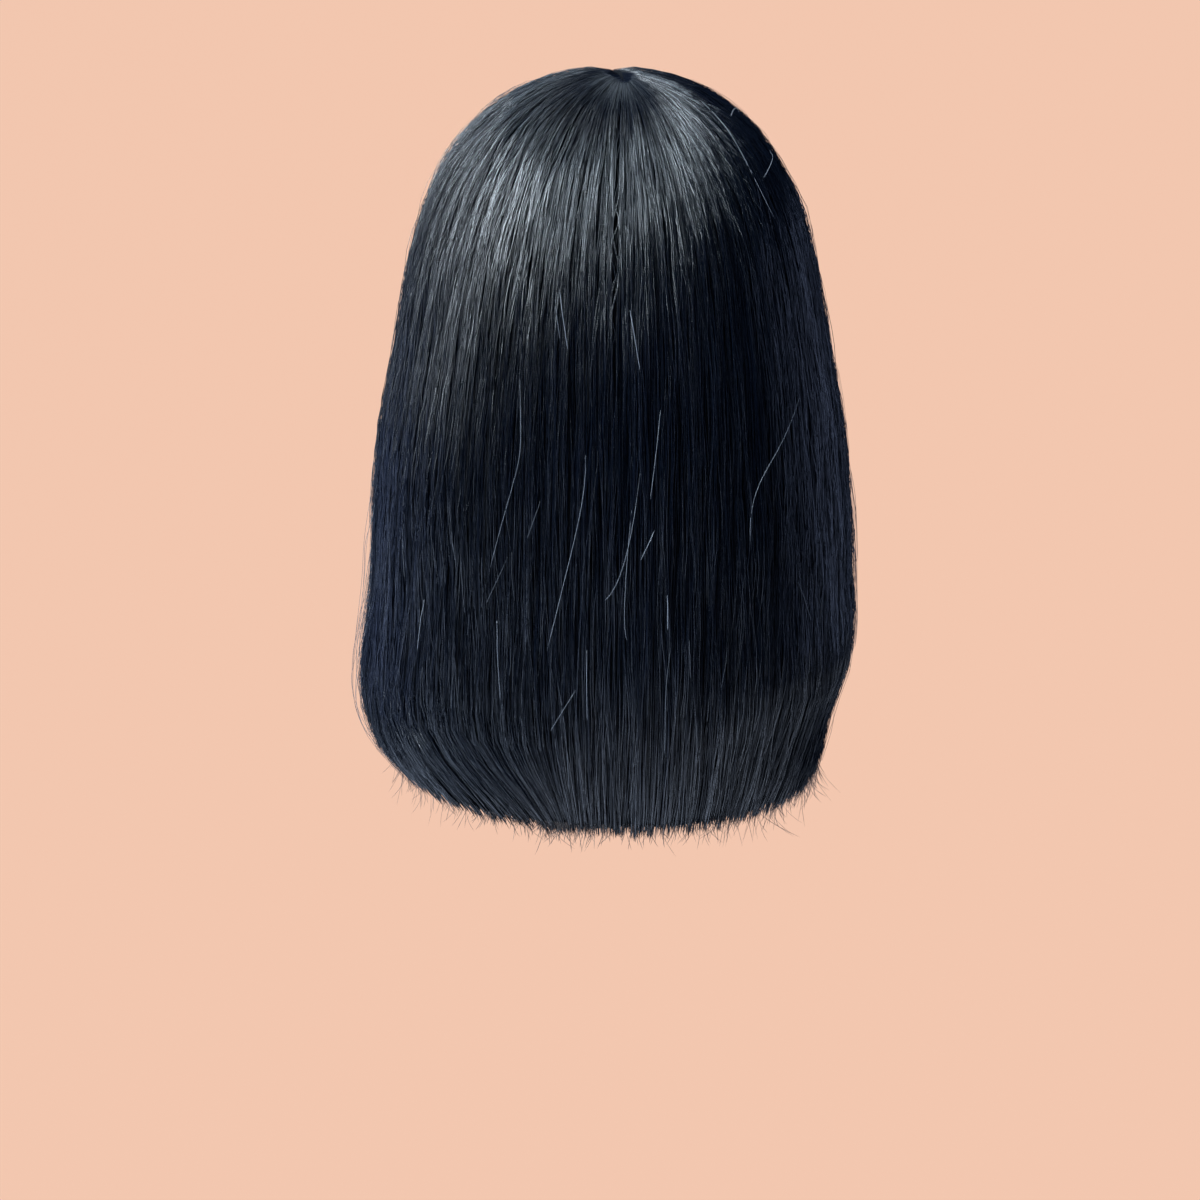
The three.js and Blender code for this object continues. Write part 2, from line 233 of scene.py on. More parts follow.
def hair_faces(turn, dome, down, side, part_cover=PART_COVER):
    """The hair's outer and inner face: dome is the way from the root to the widest level, and
    down the way from there to the cut."""
    angle = np.radians(turn)
    land_x, land_y = np.sin(angle), -np.cos(angle)
    behind = np.clip((turn - EAR_TURN) / (BACK_TURN - EAR_TURN), 0, 1)
    forward = np.clip((turn - FACE_TURN) / (EAR_TURN - FACE_TURN), 0, 1)
    root_y = lerp(-PART_FRONT, PART_BACK, forward) + CROWN_ROOTS * behind
    root_y = root_y / np.where(root_y < 0, HEAD_FRONT, HEAD_BACK)
    root_x = PART_HALF_WIDTH * (1 - behind) / HEAD_HALF_WIDTH
    bow = FACE_BOW / HEAD_FRONT * (1 - smoothstep(turn, FACE_TURN, BOW_TURN))
    pushed = 1 + 4 * bow * dome * (1 - dome)
    across = pushed * lerp(root_x, land_x, dome)
    along = pushed * lerp(root_y, land_y, dome)
    away = np.hypot(across - root_x, along - root_y)
    edge = lerp(FACE_COVER, 1, smoothstep(turn, FACE_TURN, FACE_TURN + FACE_RUN))
    run = PART_RUN / (HEAD_HALF_WIDTH + SIDE_COVER)
    cover = edge * lerp(part_cover, 1, smoothstep(away, 0, run))
    outer, height = on_dome(across, along, cover)
    inner, _ = on_dome(across, along, 0)

    sides = hang("left" if side > 0 else "right", down)
    tuck = lerp(sides, hang("back", down), np.where(land_y > 0, land_y**2, 0))
    start = FLARE * HANG[0]["spread"] * (1 - height) ** FLARE_START
    growth = start + FLARE * (hang("spread", down) - HANG[0]["spread"]) - END_TUCK * tuck
    hanging = edge * lerp(CURTAIN_WALL, TIP_WALL, hang("thin", down))
    seated = np.linalg.norm((outer - inner)[..., :2], axis=-1) + start
    wall = lerp(seated, hanging, hang("leave", down))
    in_fall = dome >= 1
    inward = np.where(in_fall, growth - wall, 0)
    inner = np.where(in_fall[..., None], outer, inner)
    for face, extra in ((outer, growth), (inner, inward)):
        face[..., 0] = side * (face[..., 0] + extra * land_x)
        face[..., 1] += extra * land_y
        face[..., 2] -= down * FALL
    return outer, inner


def full_faces(turn, dome, down, side):
    """The hair's outer and inner face, fuller at the part, that the strands and the mass follow."""
    return hair_faces(turn, dome, down, side, FULL_PART_COVER)


def under_faces(turn, dome, down, side):
    """The under hair's outer and inner face, inside the hanging hair."""
    outer = hair_faces(turn, np.ones_like(dome), down, side)[1]
    angle = np.radians(turn)
    land = np.stack([side * np.sin(angle), -np.cos(angle), np.zeros_like(angle)], axis=-1)
    outer = outer - UNDER_GAP * land
    reach = np.hypot(outer[..., 0], outer[..., 1])
    below = np.clip((-outer[..., 2] - CROWN_RISE) / NAPE_REACH, 0, 1)
    cap, _ = on_dome(np.sin(angle), -np.cos(angle), 0)
    cap_reach = np.sqrt(1 - below**2) * np.hypot(cap[..., 0], cap[..., 1])
    cap_reach = np.where(-outer[..., 2] < CAP_NAPE_DROP, cap_reach, 0)
    wall = lerp(UNDER_WALL, TIP_WALL, hang("thin", down))
    kept = np.maximum(reach - wall, cap_reach) / reach
    inner = outer * np.stack([kept, kept, np.ones_like(kept)], axis=-1)
    return outer, inner


def place_of(way):
    """A strand's way from 0 at the root through 1 at the widest level to 2 at the cut."""
    dome = np.where(way < 1, np.sin(np.clip(way, 0, 1) * math.pi / 2), 1.0)
    return dome, np.clip(way - 1, 0, None)


def hair_points(turn, way, depth, side, faces=hair_faces, inside=False):
    """Points at a depth below a wall's outer face, or its inner one, and the way out of it."""
    dome, down = place_of(way)
    turn, dome, down, depth = np.broadcast_arrays(turn, dome, down, depth)
    outer, inner = faces(turn, dome, down, side)
    if inside:
        outer, inner = inner, outer
    wall = np.linalg.norm(inner - outer, axis=-1)
    share = np.minimum(depth / wall, DEEPEST)
    points = outer + (inner - outer) * share[..., None]
    outward = (outer - inner) / wall[..., None]
    return points, outward


def uneven(index, kind):
    """An uneven but repeatable number from -1 to 1."""
    return np.sin(UNEVEN_STEP * index + UNEVEN_STEP * kind * kind)


def lock_relief(panel, turn):
    """How far the outer face dips between the panel's locks."""
    columns = np.arange(2 * panel["locks"] + 1)
    shift = LOCK_SHIFT * uneven(columns, panel["kind"])
    shift[[0, -1]] = 0
    turns = lerp(*panel["turns"], (columns + shift) / columns[-1])
    phase = np.interp(turn, turns, columns / 2)
    return LOCK_RELIEF * (0.5 + 0.5 * np.cos(2 * math.pi * phase))


def gap_share(way):
    """How far the thin gap is open at any way down."""
    return smoothstep(way, *GAP["opens"]) * (1 - smoothstep(way, *GAP["closes"]))


def parted(turn, way, side):
    """Turns pushed out of the thin gap below the crown."""
    if side != GAP["side"]:
        return turn
    off = turn - GAP["turn"]
    push = GAP["push"] * np.sign(off) * np.exp(-((off / GAP["reach"]) ** 2))
    return turn + push * gap_share(way)


def swept(turn, way, side):
    """Turns carried round towards the back where the ends turn under."""
    a, b, c, d = SWEEP_TURNS
    strength = smoothstep(turn, a, b) * (1 - smoothstep(turn, c, d))
    return turn + SWEEP[side] * strength * smoothstep(way, *SWEEP_WAYS)


def wander(rng, groups, way, waves):
    """A smooth wander from -1 to 1 along each strand, shared by the strands of a group."""
    phases = rng.uniform(0, 2 * math.pi, (int(groups.max()) + 1, len(waves)))
    total = sum(
        np.sin(math.pi * wave * way + phases[groups, k][:, None])
        for k, wave in enumerate(waves)
    )
    return total / len(waves)


def normalized(vectors):
    return vectors / np.maximum(np.linalg.norm(vectors, axis=-1, keepdims=True), 1e-12)


def mesh_object(name, points, quads, triangles, floats, material, nodes=()):
    """One smooth mesh of quads and triangles, with a number for each point in each attribute."""
    mesh = bpy.data.meshes.new(name)
    mesh.vertices.add(len(points))
    mesh.vertices.foreach_set("co", points.astype(np.float32).ravel())
    corners = np.concatenate([quads.ravel(), triangles.ravel()]).astype(np.int32)
    starts = np.concatenate(
        [4 * np.arange(len(quads)), 4 * len(quads) + 3 * np.arange(len(triangles))]
    )
    mesh.loops.add(len(corners))
    mesh.loops.foreach_set("vertex_index", corners)
    mesh.polygons.add(len(starts))
    mesh.polygons.foreach_set("loop_start", starts.astype(np.int32))
    mesh.update(calc_edges=True)
    mesh.validate()
    mesh.shade_smooth()
    for key, values in floats.items():
        attribute = mesh.attributes.new(key, "FLOAT", "POINT")
        attribute.data.foreach_set("value", np.ascontiguousarray(values, np.float32).ravel())
    mesh.materials.append(material)
    piece = bpy.data.objects.new(name, mesh)
    bpy.context.scene.collection.objects.link(piece)
    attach(piece, "root")
    if nodes:
        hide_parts(*nodes)


def tube_mesh(name, paths, outward, widths, tones, material):
    """Closed three-sided tubes along paths[strand, station], each with a ridge that faces out."""
    count, stations, _ = paths.shape
    tangent = normalized(np.gradient(paths, axis=1))
    across = normalized(np.cross(tangent, outward))
    up = np.cross(across, tangent)
    rings = np.stack(
        [
            paths
            + 0.5 * widths[..., None] * math.cos(corner) * across
            + 0.5 * widths[..., None] * math.sin(corner) * STRAND_FLATNESS * up
            for corner in np.radians([90, 210, 330])
        ],
        axis=2,
    )
    first = (np.arange(count)[:, None] * stations + np.arange(stations - 1)) * 3
    quads = np.stack(
        [
            np.stack([first + k, first + 3 + k, first + 3 + (k + 1) % 3, first + (k + 1) % 3], -1)
            for k in range(3)
        ],
        axis=2,
    ).reshape(-1, 4)
    root = np.arange(count)[:, None] * stations * 3
    tip = root + (stations - 1) * 3
    triangles = np.concatenate([root + [0, 1, 2], tip + [0, 2, 1]])
    floats = {"tone": np.repeat(tones, stations * 3)}
    mesh_object(name, rings.reshape(-1, 3), quads, triangles, floats, material)


def tapered(rng, count, stations, widths):
    """Each strand's own width, thinned towards its root and at its last station."""
    along = np.linspace(0, 1, stations)
    taper = lerp(ROOT_WIDTH, 1, smoothstep(along, 0, FULL_WIDTH_AT))
    taper[-1] = TIP_WIDTH
    return rng.uniform(*widths, (count, 1)) * taper


def strand_layer(panel, layer, seed, material):
    """One layer of a panel's strands, each from where it comes out to the cut."""
    rng = np.random.default_rng(seed)
    side = panel["side"]
    from_turn, to_turn = panel["turns"]
    count = round(layer["per_degree"] * (to_turn - from_turn))
    spaced = (np.arange(count) + rng.uniform(0, 1, count)) / count
    turn = lerp(from_turn, to_turn, rng.permutation(spaced))
    depth = rng.uniform(*layer["depth"], count)
    rooted = rng.uniform(0, 1, count) < layer["rooted"]
    start = np.where(rooted, 0, rng.uniform(*STARTS, count))[:, None]
    over = np.linspace(0, 1, layer["dome"], endpoint=False)
    stations = np.concatenate([over, 1 + np.linspace(0, 1 - TIP_RUN, layer["fall"] - 1), [2]])
    way = np.where(stations < 1, lerp(start, 1, stations), stations)
    shorter = np.where(rng.uniform(0, 1, count) < SHORT_SHARE, rng.uniform(0, SHORT_BY, count), 0)
    longer = rng.normal(0, UNEVEN_END, count) - shorter
    mixed = turn + rng.normal(0, WISP_BLUR, count)
    wisps = np.clip((mixed - from_turn) / WISP_TURN, 0, None).astype(int)
    longer = longer + rng.normal(0, UNEVEN_END, wisps.max() + 1)[wisps]
    way = np.where(way > 1, 1 + (way - 1) * (1 + longer[:, None] / FALL), way)

    free = smoothstep(way, 0.0, FREE_RUN)
    at_edge = smoothstep(turn, from_turn, from_turn + PANEL_EDGE)
    at_edge = at_edge * (1 - smoothstep(turn, to_turn - PANEL_EDGE, to_turn))
    groups = {"wisp": wisps, "strand": np.arange(count)}
    stray, lift = (
        sum(row["far"] * wander(rng, groups[row["by"]], way, row["waves"]) for row in table)
        for table in (STRAY_WAVES, LIFT_WAVES)
    )
    kept = lerp(PANEL_EDGE_STRAY, 1, at_edge)[:, None]
    turns = turn[:, None] + free * stray * layer["stray"] * kept
    loose = FACE_LOOSE * free if from_turn == FACE_TURN else 0
    turns = np.clip(turns, from_turn - loose * rng.uniform(0, 1, count)[:, None] ** 2, to_turn)
    turns = swept(parted(turns, way, side), way, side)
    root_depth, root_run = (np.where(rooted, *pair)[:, None] for pair in (ROOT_DEPTH, ROOT_RUN))
    buried = root_depth * (1 - smoothstep(way, start, start + root_run))
    relief = lock_relief(panel, turn)[:, None]
    below = depth[:, None] + buried + free * (layer["lift"] * lift + relief)
    points, outward = hair_points(turns, way, below, side, full_faces)
    widths = tapered(rng, count, len(stations), layer["width"])
    tones = rng.uniform(0, 1, count)
    name = f"{panel['node']}_{layer['name']}"
    tube_mesh(name, points, outward, widths, tones, material)


def grid_solid(outer, inner):
    """Points and quads of a closed wall between two grids of points, [row, column]."""
    rows, columns, _ = outer.shape
    points = np.concatenate([outer.reshape(-1, 3), inner.reshape(-1, 3)])
    at = np.arange(rows * columns).reshape(rows, columns)
    other = at + rows * columns

    def quads(a, b, c, d):
        return np.stack([a, b, c, d], axis=-1).reshape(-1, 4)

    faces = [
        quads(at[:-1, :-1], at[1:, :-1], at[1:, 1:], at[:-1, 1:]),
        quads(other[:-1, 1:], other[1:, 1:], other[1:, :-1], other[:-1, :-1]),
        quads(at[0, :-1], at[0, 1:], other[0, 1:], other[0, :-1]),
        quads(at[-1, 1:], at[-1, :-1], other[-1, :-1], other[-1, 1:]),
        quads(at[1:, 0], at[:-1, 0], other[:-1, 0], other[1:, 0]),
        quads(at[:-1, -1], at[1:, -1], other[1:, -1], other[:-1, -1]),
    ]
    return points, np.concatenate(faces)


def wall_mesh(name, outer, inner, tones, material, slot, node):
    """A closed wall that stands for a CAD node, with a tone for each of its columns."""
    points, quads = grid_solid(outer, inner)
    floats = {"tone": np.tile(tones, 2 * len(outer))}
    none = np.zeros((0, 3), int)
    mesh_object(name, points, quads, none, floats, material, [node])


def base_wall(panel, seed, material):
    """The grooved mass of hair under one panel's strands."""
    rng = np.random.default_rng(seed)
    side = panel["side"]
    columns = round(BASE["per_degree"] * (panel["turns"][1] - panel["turns"][0]))
    rows = BASE["rows"]
    turn = np.linspace(*panel["turns"], columns)[None, :]
    way = np.concatenate([np.linspace(0.0, 1, rows), 1 + np.linspace(0, 1, rows)[1:]])[:, None]
    groove = BASE["groove"] * wander(rng, np.arange(columns), way.T, BASE["groove_waves"]).T
    longer = -BASE["shorter"] + BASE["uneven"] * rng.uniform(-1, 1, columns)[None, :]
    way = np.where(way > 1, 1 + (way - 1) * (1 + longer / FALL), way)
    depth = lerp(BASE["root_depth"], BASE["depth"], smoothstep(way, *BASE["root_run"])) + groove
    depth = depth + smoothstep(way, 0.0, FREE_RUN) * lock_relief(panel, turn)
    if side == GAP["side"]:
        near = np.exp(-(((turn - GAP["turn"]) / GAP["push"]) ** 2))
        depth = depth + GAP["depth"] * near * gap_share(way)
    outer, _ = hair_points(turn, way, depth, side, full_faces)
    inner, _ = hair_points(turn, way, math.inf, side)
    if side < 0:
        outer, inner = outer[:, ::-1], inner[:, ::-1]
    tones = rng.uniform(0, 1, columns)
    wall_mesh(panel["node"] + "_base", outer, inner, tones, material, "hair", panel["node"])


def inner_wander(rng, row, turn, way, turns):
    """The turns and depths of strands on a face that looks at the head."""
    alone = np.arange(len(turn))
    stray = row["stray"] * wander(rng, alone, way, row["stray_waves"])
    depth = row["depth"] + row["lift"] * wander(rng, alone, way, row["lift_waves"])
    return np.clip(turn[:, None] + stray, *turns), depth


def lining_strands(panel, seed, material):
    """Strands on the face of one panel that looks at the head, below the cap."""
    rng = np.random.default_rng(seed)
    count = round(LINING["per_degree"] * (panel["turns"][1] - panel["turns"][0]))
    turn = rng.uniform(*panel["turns"], count)
    stations = np.linspace(0, 1, LINING["stations"])
    start = rng.uniform(*LINING["starts"], count)[:, None]
    way = lerp(start, 2 + rng.normal(0, LINING["uneven"], count)[:, None], stations)
    turns, depth = inner_wander(rng, LINING, turn, way, panel["turns"])
    points, outward = hair_points(turns, way, depth, panel["side"], inside=True)
    widths = tapered(rng, count, len(stations), INNER_WIDTH)
    tones = rng.uniform(*INNER_SHADED_TONES, count)
    tube_mesh(panel["node"] + "_lining", points, outward, widths, tones, material)


def under_hair(seed, wall_material, strand_material):
    """The under hair's wall, and the strands on its inner face and at its ends."""
    rng = np.random.default_rng(seed)
    columns, groove = UNDER_WALL_GRID["columns"], UNDER_WALL_GRID["groove"]
    top = 1 + (UNDER_TOP_DROP - CROWN_RISE) / FALL
    round_turn = np.linspace(UNDER_TURN, 360 - UNDER_TURN, columns)
    sides = np.where(round_turn > BACK_TURN, -1, 1)
    turn = BACK_TURN - np.abs(BACK_TURN - round_turn)
    rows = np.linspace(top, 2 - UNDER_SHORTER / FALL, UNDER_WALL_GRID["rows"])[:, None]
    groove = groove * wander(rng, np.arange(columns), rows.T, UNDER_WALL_GRID["groove_waves"]).T
    faces = []
    for inside in (False, True):
        each = [hair_points(turn, rows, groove, s, under_faces, inside)[0] for s in (1, -1)]
        faces.append(np.where(sides[None, :, None] > 0, *each))
    tones = rng.uniform(0, 1, columns)
    wall_mesh("hair_under_base", *faces, tones, wall_material, "under_hair", "hair_under")

    count = UNDER_STRANDS["count"]
    turn = rng.uniform(UNDER_TURN, BACK_TURN, count)
    stations = np.linspace(0, 1, UNDER_STRANDS["stations"])
    longer = rng.normal(UNDER_STRANDS["longer"], UNDER_STRANDS["uneven"], count)[:, None]
    end = 2 - UNDER_SHORTER / FALL + longer
    way = lerp(top + rng.uniform(*UNDER_STRANDS["starts"], count)[:, None], end, stations)
    turns, depth = inner_wander(rng, UNDER_STRANDS, turn, way, (UNDER_TURN, BACK_TURN))
    half = np.arange(count) < count // 2
    both = [hair_points(turns, way, depth, s, under_faces, True) for s in (1, -1)]
    points, outward = (np.where(half[:, None, None], a, b) for a, b in zip(*both))
    widths = tapered(rng, count, len(stations), INNER_WIDTH)
    tones = rng.uniform(*INNER_SHADED_TONES, count)
    tube_mesh("hair_under_strands", points, outward, widths, tones, strand_material)


def cap_net(material):
    """The cap's own form with rounder faces, as a fine net."""
    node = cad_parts["wig_cap"]
    shape = bmesh.new()
    shape.from_mesh(node.data)
    shape.transform(node.matrix_world)
    bmesh.ops.remove_doubles(shape, verts=shape.verts, dist=1e-5)
    bmesh.ops.join_triangles(
        shape, faces=shape.faces, angle_face_threshold=math.radians(50),
        angle_shape_threshold=math.radians(60),
    )
    mesh = bpy.data.meshes.new("wig_cap_net")
    shape.to_mesh(mesh)
    shape.free()
    mesh.shade_smooth()
    mesh.materials.append(material)
    piece = bpy.data.objects.new("wig_cap_net", mesh)
    bpy.context.scene.collection.objects.link(piece)
    rounder = piece.modifiers.new("rounder", "SUBSURF")
    rounder.levels = rounder.render_levels = 2
    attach(piece, "root")
    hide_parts("wig_cap")


# Single hairs that lie astray over the others: the side, the (turn, way) places that each
# passes, and how far it stands off in metres.
STRAYS = [
    {"side": -1, "path": [(137.8, 1.078), (148.2, 1.177), (154.8, 1.255), (156.8, 1.36)], "lift": 0.0016},
    {"side": 1, "path": [(164.5, 1.17), (164.0, 1.263), (161.2, 1.388), (156.2, 1.583)], "lift": 0.0012},
    {"side": -1, "path": [(178.2, 1.078), (179.5, 1.167), (180.8, 1.26)], "lift": 0.001},
    {"side": 1, "path": [(148.2, 1.022), (149.5, 1.145), (148.2, 1.228), (142.2, 1.435)], "lift": 0.0012},
    {"side": 1, "path": [(177.0, 1.2), (173.5, 1.385), (169.0, 1.47)], "lift": 0.0012},
    {"side": 1, "path": [(175.0, 1.282), (173.5, 1.47), (174.0, 1.555)], "lift": 0.001},
    {"side": 1, "path": [(180.2, 1.325), (177.0, 1.385)], "lift": 0.0012},
    {"side": 1, "path": [(165.0, 1.578), (165.2, 1.728)], "lift": 0.0014},
    {"side": 1, "path": [(162.5, 1.665), (157.0, 1.755)], "lift": 0.0014},
    {"side": 1, "path": [(123.2, 1.518), (122.5, 1.63)], "lift": 0.001},
    {"side": 1, "path": [(144.0, 1.53), (145.5, 1.7)], "lift": 0.001},
    {"side": -1, "path": [(176.8, 1.463), (176.8, 1.535)], "lift": 0.001},
    {"side": -1, "path": [(106.0, 0.4), (115.5, 0.375), (127.5, 0.39)], "lift": 0.002},
    {"side": -1, "path": [(130.2, 0.285), (137.8, 0.505), (136.2, 0.698)], "lift": 0.0012},
    {"side": -1, "path": [(110.8, 0.528), (123.5, 0.558), (134.2, 0.59)], "lift": 0.002},
    {"side": 1, "path": [(157.0, 0.84), (160.0, 0.965)], "lift": 0.001},
    {"side": 1, "path": [(156.0, 0.863), (158.0, 0.945)], "lift": 0.001},
    {"side": 1, "path": [(174.8, 0.878), (177.0, 0.998)], "lift": 0.001},
]
# Rows of loose hairs: the side, how many, the turns and the ways where they start, how long they
# run on, and how far they stand off at most.
LOOSE = [
    {"side": 1, "count": 30, "turns": (70, 94), "ways": (1.15, 1.9), "length": (0.2, 0.5), "lift": 0.0055},
    {"side": -1, "count": 30, "turns": (88, 106), "ways": (1.2, 1.9), "length": (0.15, 0.4), "lift": 0.003},
    {"side": 1, "count": 6, "turns": (104, 178), "ways": (1.2, 1.7), "length": (0.08, 0.25), "lift": 0.001},
    {"side": -1, "count": 6, "turns": (104, 178), "ways": (1.2, 1.7), "length": (0.08, 0.25), "lift": 0.001},
    {"side": 1, "count": 8, "turns": (40, 100), "ways": (0.1, 1.7), "length": (0.1, 0.4), "lift": 0.0015},
    {"side": -1, "count": 8, "turns": (40, 100), "ways": (0.1, 1.7), "length": (0.1, 0.4), "lift": 0.0015},
]
STRAY_STATIONS = 20
STRAY_WIDTH = (0.0002, 0.00032)
LOOSE_END = 1.99  # the way that no loose hair runs past
LOOSE_LEAN = 3.0  # degrees that a loose hair leans over its length
LOOSE_STRAY = 0.6  # degrees that it wanders to either side
LOOSE_WAVES = (3.0, 7.0)
LOOSE_LIFTS = (0.3, 1)  # the shares of its row's lift that a loose hair may have
LOOSE_RISE = 0.5  # how far along it has its whole lift
STRAY_RISE = 0.4
# Where the loose hairs and the single strays sit on the stray material's ramp, from its darker end to its
# pale grey end, with a spread for each hair. The pale grey is a painted highlight for the light these black
# hairs catch.
LOOSE_PAINTED_SHEEN = 0.1
STRAY_PAINTED_SHEEN = 0.8
TONE_RANGE = (-0.1, 0.2)


def stray_hairs(seed, material):
    """Single thin hairs that stand off the surface, coloured paler than the hair: a painted highlight for
    the light they catch.
    """
    rng = np.random.default_rng(seed)
    along = np.linspace(0, 1, STRAY_STATIONS)
    paths, outwards = [], []
    for row in LOOSE:
        count = row["count"]
        start = rng.uniform(*row["ways"], count)[:, None]
        way = np.minimum(start + rng.uniform(*row["length"], count)[:, None] * along, LOOSE_END)
        turn = rng.uniform(*row["turns"], count)[:, None]
        turn = turn + rng.normal(0, LOOSE_LEAN, count)[:, None] * along
        turn = turn + LOOSE_STRAY * wander(rng, np.arange(count), way, LOOSE_WAVES)
        lift = row["lift"] * rng.uniform(*LOOSE_LIFTS, count)[:, None] * smoothstep(along, 0, LOOSE_RISE)
        points, outward = hair_points(turn, way, -lift, row["side"])
        paths.append(points)
        outwards.append(outward)
    for row in STRAYS:
        knots = np.linspace(0, 1, len(row["path"]))
        turn, way = (
            np.polyval(np.polyfit(knots, values, len(knots) - 1), along) for values in zip(*row["path"])
        )
        lift = row["lift"] * smoothstep(along, 0, STRAY_RISE)
        points, outward = hair_points(turn[None], way[None], -lift[None], row["side"])
        paths.append(points)
        outwards.append(outward)
    points, outward = np.concatenate(paths), np.concatenate(outwards)
    widths = tapered(rng, len(points), len(along), STRAY_WIDTH)
    loose = np.arange(len(points)) < len(points) - len(STRAYS)
    tones = np.where(loose, LOOSE_PAINTED_SHEEN, STRAY_PAINTED_SHEEN) + rng.uniform(*TONE_RANGE, len(points))
    tube_mesh("stray_hairs", points, outward, widths, tones, material)


# Fine ends below the cut: the side, the turns, how many, and how far they hang below it.
HEM_WISPS = [
    {"side": -1, "turns": (100, 150), "count": 170, "length": (0.001, 0.014)},
    {"side": -1, "turns": (150, 180), "count": 120, "length": (0.001, 0.010)},
    {"side": 1, "turns": (150, 180), "count": 120, "length": (0.001, 0.008)},
    {"side": 1, "turns": (100, 150), "count": 150, "length": (0.001, 0.010)},
    {"side": 1, "turns": (45, 100), "count": 60, "length": (0.001, 0.006)},
    {"side": -1, "turns": (45, 100), "count": 60, "length": (0.001, 0.006)},
]
HEM_ROOT = 1.975  # the way where they start
HEM_HIDDEN = 0.005  # the length of each that lies above the cut
HEM_DEPTH = 0.002
HEM_STATIONS = 7
HEM_SKEW = 2.5  # the power that makes short ends more frequent than long ones
HEM_LEAN = 0.28
HEM_CURL = 0.25
HEM_WIDTH = (0.00013, 0.00024)


def hem_wisps(seed, material):
    """Thin loose ends that hang a little below the cut."""
    rng = np.random.default_rng(seed)
    along = np.linspace(0, 1, HEM_STATIONS)[None, :, None]
    paths = []
    for row in HEM_WISPS:
        count = row["count"]
        turn = swept(rng.uniform(*row["turns"], count), 2.0, row["side"])
        depth = rng.uniform(0, HEM_DEPTH, count)
        root, _ = hair_points(turn, np.full(count, HEM_ROOT), depth, row["side"])
        length = lerp(*row["length"], rng.uniform(0, 1, count) ** HEM_SKEW) + HEM_HIDDEN
        lean = rng.normal(0, HEM_LEAN, (count, 3))
        lean[:, 2] = -1
        curl = rng.normal(0, HEM_CURL, (count, 3))
        curl[:, 2] = 0
        bent = along * normalized(lean)[:, None] + along**2 * curl[:, None]
        paths.append(root[:, None] + length[:, None, None] * bent)
    points = np.concatenate(paths)
    outward = normalized(points * [1, 1, 0])
    widths = tapered(rng, len(points), HEM_STATIONS, HEM_WIDTH)
    tones = rng.uniform(0, 1, len(points))
    tube_mesh("hem_wisps", points, outward, widths, tones, material)


BROKEN_GLOSS = 0.06  # how far a strand's roughness goes up and down along it


def new_node(tree, kind, sockets=(), **settings):
    """A shader node with some of its settings and sockets set."""
    made = tree.nodes.new(kind)
    for key, value in settings.items():
        setattr(made, key, value)
    for key, value in dict(sockets).items():
        made.inputs[key].default_value = value
    return made


def hair_material(name, dark, light, rough, specular=0.5, bump=0.0):
    """Fine hair. A strand's tone runs from dark and dull to light and glossy, and the gloss is
    broken along its length. rough gives the roughness at either end of the tone."""
    material = bpy.data.materials.new(name)
    material.use_nodes = True
    tree = material.node_tree
    shader = tree.nodes["Principled BSDF"]
    shader.inputs["IOR"].default_value = 1.55
    shader.inputs["Specular IOR Level"].default_value = specular
    tone = new_node(tree, "ShaderNodeAttribute", attribute_name="tone")
    ramp = new_node(tree, "ShaderNodeValToRGB")
    ramp.color_ramp.elements[0].color = (*dark, 1)
    ramp.color_ramp.elements[1].color = (*light, 1)
    tree.links.new(tone.outputs["Fac"], ramp.inputs["Fac"])
    tree.links.new(ramp.outputs["Color"], shader.inputs["Base Color"])
    noise = new_node(tree, "ShaderNodeTexNoise", {"Scale": 170, "Detail": 3})
    level = new_node(tree, "ShaderNodeMapRange", {"To Min": rough[0], "To Max": rough[1]})
    broken = new_node(tree, "ShaderNodeMapRange", {"To Min": -BROKEN_GLOSS, "To Max": BROKEN_GLOSS})
    total = new_node(tree, "ShaderNodeMath", operation="ADD", use_clamp=True)
    tree.links.new(tone.outputs["Fac"], level.inputs["Value"])
    tree.links.new(noise.outputs["Fac"], broken.inputs["Value"])
    tree.links.new(level.outputs["Result"], total.inputs[0])
    tree.links.new(broken.outputs["Result"], total.inputs[1])
    tree.links.new(total.outputs["Value"], shader.inputs["Roughness"])
    if bump:
        relief = new_node(tree, "ShaderNodeBump", {"Distance": bump})
        tree.links.new(noise.outputs["Fac"], relief.inputs["Height"])
        tree.links.new(relief.outputs["Normal"], shader.inputs["Normal"])
    return material


